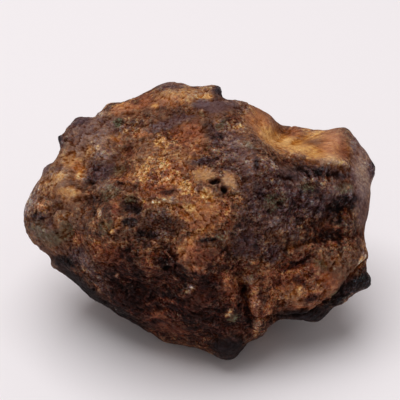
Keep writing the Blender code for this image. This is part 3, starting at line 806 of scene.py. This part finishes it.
for name, (rounds, full) in DEPTHS.items():
    masks[name] = depth_below(surface, rounds) / full
mean, swing, size = BUSY
masks["busy"] = np.clip(mean + swing * gradient_noise(body, size, 401), *BUSY_LIMITS)
masks["busy"] *= (1 - BUSY_LOST[0] * smooth) * (1 - BUSY_LOST[1] * calm)
print("spread:", {name: round(float(masks[name].std()), 2) for name in DEPTHS})

# %% [markdown]
# ## The fine stone
#
# The piece hangs under the root body, and the solid is hidden. The piece stands for the solid, which stays
# in the physics. Its object sits at the origin with its place in its mesh, so the material's patterns,
# which read object coordinates, stay on the stone. The masks go along as attributes, one number a point.

# %% Make the piece
def add_attribute(mesh, name, values):
    """One number a point, under this name."""
    mesh.attributes.new(name, 'FLOAT', 'POINT').data.foreach_set("value", values.astype(np.float32))


stone_mesh = new_mesh("stone_surface", surface, squares)
for name, mask in masks.items():
    add_attribute(stone_mesh, name, mask)
stone_mesh.shade_smooth()
stone = new_object("stone_surface", stone_mesh)
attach(stone, "root")
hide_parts("meteorite")
print("triangles:", 2 * len(stone_mesh.polygons))

# %% [markdown]
# ## Building a material from nodes
#
# One helper adds a node, sets its properties and fills its inputs with values or links. A material binds it
# to its own tree of nodes. Colours are written as sRGB hex, the way a paint program shows them, and turned
# to the linear values that a renderer adds up.

# %% Node helper and colour
def linear(code, alpha=1.0):
    """sRGB hex to linear: c / 12.92 below 0.04045, else ((c + 0.055) / 1.055) to the power 2.4."""
    channels = [int(code[place:place + 2], 16) / 255 for place in (1, 3, 5)]
    return [c / 12.92 if c <= 0.04045 else ((c + 0.055) / 1.055) ** 2.4 for c in channels] + [alpha]


def add_node(tree, kind, *inputs, output=0, **settings):
    """Add a shader node with these settings. Its inputs are filled in order, each with a value or a link,
    and None leaves one as it is. Gives one of its outputs."""
    node = tree.nodes.new("ShaderNode" + kind)
    for name, value in settings.items():
        setattr(node, name, value)
    for socket, value in zip([socket for socket in node.inputs if socket.enabled], inputs):
        if isinstance(value, bpy.types.NodeSocket):
            tree.links.new(value, socket)
        elif value is not None:
            socket.default_value = value
    return node.outputs[output]


print("ochre, linear:", [round(c, 3) for c in linear("#B07A45")])

# %% [markdown]
# ## Weathered chondrite
#
# The stone is a natural, unpolished, rusted silicate rock, so it is rough and hardly shines. A picture of
# rock wrapped around it would show seams and stretch. Patterns in object coordinates run through it as
# through the real thing. From the ground up:
#
# - Stage and warmth are broken up by noise of a few millimetres and of one, by mosaics of mineral grains
#   that lie side by side, and by fibres along the dark face, the saddle and the right end. Fine veins pull
#   pale rust darker and dark crust paler. Three ramps turn the result into a colour, so no rust is one
#   colour.
# - Olive grains, pale and dark flecks and dark cracks lie over the rust, with a few painted glints: pale
#   spots on grains that stand in for highlights.
# - The painted shade comes last: crevices and ledges are painted darker and crests paler, times a random
#   tone of grains. Painted light on crests grows slowly and painted shade in crevices deepens quickly. Each
#   channel is shaded by its own power, because light that bounces between rusty grains loses blue first
#   and red last. Green also tilts up and down from grain to grain, so that neighbours differ in hue.
#
# How busy a place is scales all of it, so plates and worn places stay calm.

# %% Stone material
RUST_RAMPS = {           # stage by stage, from fresh crust to the palest rust
    "dusty": ("#130B0C", "#291A1C", "#462F31", "#614747", "#7C625C", "#988177", "#B8A495", "#D8C8B8"),
    "ochre": ("#150B0A", "#2A1813", "#482C21", "#674230", "#8B5D40", "#B37C49", "#D39B58", "#E4C286"),
    "red": ("#1C0605", "#350F0B", "#552119", "#7A3A28", "#A05233", "#BC6844", "#D2875B", "#E1A57B"),
}
PATTERNS = {             # size in mm, detail, roughness, seed
    "blotch": (3.0, 6, 0.6, 0.3), "hue": (5.0, 5, 0.6, 1.7), "grain": (1.1, 3, 0.6, 0.9),
    "ragged": (1.8, 5, 0.7, 2.9), "vein": (3.0, 4, 0.6, 4.1), "fleck": (0.8, 3, 0.6, 5.3),
    "speck": (0.5, 1, 0.5, 6.1), "tint": (0.9, 2, 0.6, 7.7), "green": (0.8, 3, 0.7, 8.8),
}
FIBRES = {               # turn in degrees, length and width in mm, seed
    "level": (10, 3.2, 0.8, 8.3), "saddle": (-32, 1.8, 0.5, 9.1), "upright": (84, 4.0, 0.8, 9.9),
}
MOSAICS = {"mosaic": 1.4, "small": 0.7}      # mm, mineral grains that lie side by side
FLAT_GRAINS = 1.3        # patterns under a millimetre are this much flatter than wide
FIBRE_BEND = 1.2 * MM    # how far blotches bend the fibres
GRAIN_BEND = 0.9 * MM    # how far ragged noise bends the mosaics
FIBRE_DETAIL = (3, 0.6)  # detail and roughness
SWINGS = {"blotch": 0.36, "grain": 0.36, "mosaic": 0.1}      # how far each moves the stage, up and down
FIBRE_SWING = 0.32
HUE_SWING = 0.35         # how far broad and fine noise move the warmth
TINT_SWING = 0.75
RANGES = {               # a value's ends, and what they become
    "dark_calm": (0, 0.25, 0.8, 1.0),        # stage: dark crust is more even
    "pale_calm": (0.3, 0.8, 1, 0.5),         # stage: pale rust changes less in warmth
    "vein": (0.002, 0.022, 0.45, 0.0),       # distance from the noise's middle: share of vein
    "to_ochre": (0.0, 0.5, 0, 1),            # warmth
    "to_red": (0.5, 1.5, 0, 1),
    "olive_edge": (0, 1, -1.1, 1.1),         # raggedness
    "olive": (0.35, 1.0, 0, 0.5),            # olive mask: share
    "on_pale": (0.3, 0.6, 0, 1),             # stage
    "pale": (0.6, 0.68, 0, 0.28),            # fleck noise: share
    "dark": (0.4, 0.33, 0, 0.5),
    "crack": (0.003, 0.012, 0.85, 0.0),      # distance from the noise's middle: share
    "crevice": (1.8, -1.8, 0.55, 1.45),      # depth: shade
    "ledge": (1.8, -1.8, 0.8, 1.25),
    "speck": (0.1, 0.7, 0.05, 1.5),          # noise: shade
    "small": (0, 1, 0.65, 1.35),
    "on_dark": (0.2, 0.8, 1, 0.7),           # stage: share of the grains' shade
    "gain": (0.05, 0.35, 2.1, 1.0),          # stage: power of the shade, more contrast on dark crust
    "blue_by_stage": (0.35, 0.7, 1.25, 1.7),  # powers of the shade in blue
    "blue_by_warmth": (0.1, 0.7, 1.35, 2.3),
    "green": (0.1, 0.9, -1.0, 1.0),          # noise: tilt
    "green_reach": (0.1, 0.8, 0.9, 0.45),    # stage: size of the tilt
    "gloss": (0.35, 0.65, 0.85, 0.6),        # raggedness: roughness
}
VEIN_STAGE = 0.36        # the stage that veins pull to
BUSY_POWER = 2.0         # grains' shade grows with busy to this power
SHADE_GAIN = 1.09        # makes up for what the shade darkens on the whole
LIT_POWER = 0.88        # brighter side of the painted shade, on crests
SHADED_POWER = 1.75        # darker side of the painted shade, in crevices
RED_POWER = 0.62         # powers of the shade in red and green
GREEN_POWER = 1.1
BLUE_TILT = 1.1          # blue goes with green when it dips, and hardly when it rises
# Painted glints: pale spots on a few grains that stand in for highlights
RARE = 0.98              # only grains whose random number is above this get a painted glint
PAINTED_GLINT_MIDDLE = 0.24      # cells, radius of a painted glint
PAINTED_GLINT_SHARE = 0.45
OLIVE_TONES = ("#241A12", "#786849")
# The first three are the stone's own pale flecks, dark flecks and cracks; the last is a painted highlight
PALE, DARK, CRACK, PAINTED_GLINT = [linear(code) for code in ("#B89878", "#140C0B", "#1A0F0D", "#D2B892")]
RELIEF = {"speck": 0.5, "mosaic_middle": -0.3, "small_middle": -0.15}    # beside the grain noise's 1
BUMP_STRENGTH = 0.8
BUMP_HEIGHT = 0.7 * MM
SMOOTHLY = {"interpolation_type": 'SMOOTHSTEP'}
IN_COLOUR = {"output": 2, "data_type": 'RGBA'}
IN_SPACE = {"output": 1, "data_type": 'VECTOR'}


def stone_patterns(add):
    """Noise patterns of these sizes on object coordinates, each moved aside by its seed."""
    place = add("TexCoord", output=3)
    patterns = {}
    for name, (size, detail, rough, seed) in PATTERNS.items():
        flat = FLAT_GRAINS if size < 1 else 1
        moved = add("Mapping", place, (seed, 2 * seed, 3 * seed), None, (1, 1, flat))
        patterns[name] = add("TexNoise", moved, 1 / (size * MM), detail, rough)
    bend = add("Mix", FIBRE_BEND, (0, 0, 0), patterns["blotch"].node.outputs["Color"], **IN_SPACE)
    for name, (turn, length, width, seed) in FIBRES.items():
        upright = add("Mapping", place, None, (math.pi / 2 - FACE_RISE, 0, 0))
        turned = add("Mapping", upright, (seed, seed, 0), (0, 0, -math.radians(turn)))
        bowed = add("VectorMath", turned, bend, operation='ADD')
        drawn = add("Mapping", bowed, None, None, (width / length, 1, 1))
        patterns[name] = add("TexNoise", drawn, 1 / (width * MM), *FIBRE_DETAIL)
    bent = add("Mix", GRAIN_BEND, place, patterns["ragged"].node.outputs["Color"], **IN_SPACE)
    for name, size in MOSAICS.items():
        patterns[name + "_middle"] = add("TexVoronoi", bent, 1 / (size * MM))
        patterns[name] = add("SeparateColor", patterns[name + "_middle"].node.outputs["Color"])
    return patterns


def rust_ramp(add, stage, codes):
    """Colours spaced evenly over the stages."""
    output = add("ValToRGB", stage)
    stops = output.node.color_ramp.elements
    for number, code in enumerate(codes[1:-1], 1):
        stops.new(number / (len(codes) - 1)).color = linear(code)
    stops[0].color = linear(codes[0])
    stops[-1].color = linear(codes[-1])
    return output


def thin_lines(add, pattern, name, busy):
    """Lines where a noise passes its middle value: share by |noise - 0.5|, times busy."""
    off = add("Math", pattern, 0.5, operation='SUBTRACT')
    off = add("Math", off, operation='ABSOLUTE')
    share = add("MapRange", off, *RANGES[name], **SMOOTHLY)
    return add("Math", share, busy, operation='MULTIPLY')


def rust_colour(add, patterns, mask):
    """Rust by stage and warmth: both masks plus noise times busy, then three ramps mixed by warmth."""
    dark_calm = add("MapRange", mask["stage"], *RANGES["dark_calm"])
    pale_calm = add("MapRange", mask["stage"], *RANGES["pale_calm"])
    uneven = 0.0
    for name, reach in SWINGS.items():
        swing = add("MapRange", patterns[name], 0, 1, -reach, reach)
        uneven = add("Math", uneven, swing, operation='ADD')
    uneven = add("Math", uneven, dark_calm, operation='MULTIPLY')
    stage = add("Math", uneven, mask["busy"], mask["stage"], operation='MULTIPLY_ADD')
    for name in FIBRES:
        fibre = add("MapRange", patterns[name], 0, 1, -FIBRE_SWING, FIBRE_SWING)
        stage = add("Math", fibre, mask[name], stage, operation='MULTIPLY_ADD')
    vein = thin_lines(add, patterns["vein"], "vein", mask["busy"])
    stage = add("Mix", vein, stage, VEIN_STAGE)

    hue = add("MapRange", patterns["hue"], 0, 1, -HUE_SWING, HUE_SWING)
    tint = add("MapRange", patterns["tint"], 0, 1, -TINT_SWING, TINT_SWING)
    turn = add("Math", tint, mask["busy"], hue, operation='MULTIPLY_ADD')
    warmth = add("Math", turn, pale_calm, mask["warmth"], operation='MULTIPLY_ADD')
    dusty, ochre, red = [rust_ramp(add, stage, codes) for codes in RUST_RAMPS.values()]
    to_ochre = add("MapRange", warmth, *RANGES["to_ochre"])
    to_red = add("MapRange", warmth, *RANGES["to_red"])
    colour = add("Mix", to_ochre, dusty, ochre, **IN_COLOUR)
    return add("Mix", to_red, colour, red, **IN_COLOUR)


def with_minerals_and_painted_glints(add, colour, patterns, mask):
    """The colour with olive grains, flecks, cracks and painted glints mixed over it, in this order. The
    glints are pale spots that stand in for highlights.
    """
    olive_tone = add("Mix", patterns["grain"], *[linear(code) for code in OLIVE_TONES], **IN_COLOUR)
    olive_edge = add("MapRange", patterns["ragged"], *RANGES["olive_edge"])
    olive = add("Math", mask["olive"], olive_edge, operation='ADD')
    olive = add("MapRange", olive, *RANGES["olive"], **SMOOTHLY)

    on_pale = add("MapRange", mask["stage"], *RANGES["on_pale"])
    pale = add("MapRange", patterns["fleck"], *RANGES["pale"], **SMOOTHLY)
    dark = add("MapRange", patterns["fleck"], *RANGES["dark"], **SMOOTHLY)
    rare = add("Math", patterns["mosaic"].node.outputs[1], RARE, operation='GREATER_THAN')
    middle = add("Math", patterns["mosaic_middle"], PAINTED_GLINT_MIDDLE, operation='LESS_THAN')
    pale = add("Math", pale, on_pale, operation='MULTIPLY')
    pale = add("Math", pale, mask["busy"], operation='MULTIPLY')
    dark = add("Math", dark, mask["busy"], operation='MULTIPLY')
    crack = thin_lines(add, patterns["ragged"], "crack", mask["busy"])
    # Painted glints: the middle of a rare grain on pale rust, painted pale as a highlight
    painted_glint = add("Math", rare, middle, operation='MULTIPLY')
    for factor in (on_pale, PAINTED_GLINT_SHARE):
        painted_glint = add("Math", painted_glint, factor, operation='MULTIPLY')

    for share, over in ((olive, olive_tone), (pale, PALE), (dark, DARK), (crack, CRACK), (painted_glint, PAINTED_GLINT)):
        colour = add("Mix", share, colour, over, **IN_COLOUR)
    return colour


def grey_shade(add, patterns, mask):
    """Painted shade of crevices and ledges, painted light on crests, times a random tone of grains: their
    product to a power, then the smaller of the lit curve and the shaded one."""
    speck, small = [add("MapRange", patterns[name], *RANGES[name]) for name in ("speck", "small")]
    fine = add("Math", speck, small, operation='MULTIPLY')
    rough = add("Math", mask["busy"], BUSY_POWER, operation='POWER')
    on_dark = add("MapRange", mask["stage"], *RANGES["on_dark"])
    rough = add("Math", rough, on_dark, operation='MULTIPLY', use_clamp=True)
    shade = add("Mix", rough, 1.0, fine)
    # Painted shade in crevices and under ledges, painted light on crests
    for name in DEPTHS:
        deep = add("MapRange", mask[name], *RANGES[name], **SMOOTHLY)
        shade = add("Math", shade, deep, operation='MULTIPLY')
    gain = add("MapRange", mask["stage"], *RANGES["gain"])
    shade = add("Math", shade, gain, operation='POWER')
    shade = add("Math", shade, SHADE_GAIN, operation='MULTIPLY')
    lit, shaded = [add("Math", shade, power, operation='POWER') for power in (LIT_POWER, SHADED_POWER)]
    return add("Math", lit, shaded, operation='MINIMUM')


def tinted_shade(add, patterns, mask):
    """The shade as a colour: shade to its own power in each channel, with green tilted by fine noise."""
    shade = grey_shade(add, patterns, mask)
    by_stage = add("MapRange", mask["stage"], *RANGES["blue_by_stage"])
    by_warmth = add("MapRange", mask["warmth"], *RANGES["blue_by_warmth"])
    powers = (RED_POWER, GREEN_POWER, by_stage, by_warmth)
    red, green, blue, low_blue = [add("Math", shade, power, operation='POWER') for power in powers]
    blue = add("Math", blue, low_blue, operation='MINIMUM')

    tilt = add("MapRange", patterns["green"], *RANGES["green"])
    reach = add("MapRange", mask["stage"], *RANGES["green_reach"])
    reach = add("Math", reach, mask["busy"], operation='MULTIPLY')
    tilt = add("Math", tilt, reach, 1.0, operation='MULTIPLY_ADD')
    green = add("Math", green, tilt, operation='MULTIPLY')
    tilt = add("Math", tilt, BLUE_TILT, operation='MINIMUM')
    blue = add("Math", blue, tilt, operation='MULTIPLY')
    return add("CombineColor", red, green, blue)


def add_bump(tree, add, patterns, shader):
    """Fine relief under the size of the mesh's squares."""
    rise = patterns["grain"]
    for name, height in RELIEF.items():
        rise = add("Math", patterns[name], height, rise, operation='MULTIPLY_ADD')
    bump = tree.nodes.new("ShaderNodeBump")
    bump.inputs["Strength"].default_value = BUMP_STRENGTH
    bump.inputs["Distance"].default_value = BUMP_HEIGHT
    tree.links.new(rise, bump.inputs["Height"])
    tree.links.new(bump.outputs[0], shader.inputs["Normal"])


def weathered_chondrite():
    """Rough rusted rock: to the eye brown, rust, ochre and near black, with grain in all of them."""
    material = bpy.data.materials.new("weathered_chondrite")
    material.use_nodes = True
    tree = material.node_tree
    shader = tree.nodes["Principled BSDF"]
    add = partial(add_node, tree)
    patterns = stone_patterns(add)
    mask = {name: add("Attribute", output=2, attribute_name=name) for name in masks}
    colour = rust_colour(add, patterns, mask)
    colour = with_minerals_and_painted_glints(add, colour, patterns, mask)
    # The painted shade and light of crevices, ledges and crests multiply the colour
    shade = tinted_shade(add, patterns, mask)
    colour = add("Mix", 1.0, colour, shade, blend_type='MULTIPLY', **IN_COLOUR)
    tree.links.new(colour, shader.inputs["Base Color"])
    add_bump(tree, add, patterns, shader)
    gloss = add("MapRange", patterns["ragged"], *RANGES["gloss"])
    tree.links.new(gloss, shader.inputs["Roughness"])
    shader.inputs["Specular IOR Level"].default_value = 0.06
    return material


stone_mesh.materials.append(weathered_chondrite())
print("nodes:", len(stone_mesh.materials[0].node_tree.nodes))

# %% [markdown]
# ## Floor, light and camera
#
# A pale matt floor and one large soft light overhead are the usual set for a specimen: the top is bright,
# ledges throw short soft shadows, and the underside falls away into the dark. The sky adds a little light
# from all round. The camera looks straight at the broad face.

# %% Studio
FLOOR_SIZE = 6.0         # m
CAMERA_AIM_ABOVE = 5.67 * MM     # the stone sits this far below the middle of the frame
LENS = 101.7
SENSOR = 36.0
OVERHEAD = ((-0.16, 0.12, 1.25), 1.1, 13.0)      # place and size in m, power in W
SKY = ("#FFF8F6", 0.34)  # colour and strength


def floor_material():
    """Matt pale paper: to the eye a plain ground that takes a soft shadow."""
    material = bpy.data.materials.new("matt_paper")
    material.use_nodes = True
    shader = material.node_tree.nodes["Principled BSDF"]
    shader.inputs["Base Color"].default_value = linear("#F4F0F3")
    shader.inputs["Roughness"].default_value = 0.9
    shader.inputs["Specular IOR Level"].default_value = 0.2
    return material


def add_floor():
    """A wide plane at the stone's base."""
    half = FLOOR_SIZE / 2
    corners = np.array(((-half, -half, 0), (half, -half, 0), (half, half, 0), (-half, half, 0)))
    floor = new_object("floor", new_mesh("floor", corners, np.array(((0, 1, 2, 3),))))
    floor.data.materials.append(floor_material())


def add_area_light(name, place, size, power):
    """A square soft light that faces the core."""
    lamp = bpy.data.lights.new(name, 'AREA')
    lamp.size = size
    lamp.energy = power
    light = new_object(name, lamp)
    light.location = place
    light.rotation_euler = (Vector(place) - CORE).to_track_quat('Z', 'Y').to_euler()


def add_camera():
    """Straight in front of the broad face, a little above the core."""
    lens = bpy.data.cameras.new("camera")
    lens.lens = LENS
    lens.sensor_width = SENSOR
    lens.clip_start = 0.01
    camera = new_object("camera", lens)
    camera.location = CORE + Vector(OUT) * EYE_DISTANCE * MM
    target = CORE + Vector(UP) * CAMERA_AIM_ABOVE
    camera.rotation_euler = (camera.location - target).to_track_quat('Z', 'Y').to_euler()
    bpy.context.scene.camera = camera


add_floor()
add_area_light("overhead", *OVERHEAD)
world = bpy.data.worlds.new("studio")
world.use_nodes = True
sky = world.node_tree.nodes["Background"].inputs
sky["Color"].default_value = linear(SKY[0])
sky["Strength"].default_value = SKY[1]
bpy.context.scene.world = world
bpy.context.scene.view_settings.view_transform = 'Standard'
add_camera()
print("camera, m:", [round(c, 3) for c in bpy.context.scene.camera.location])
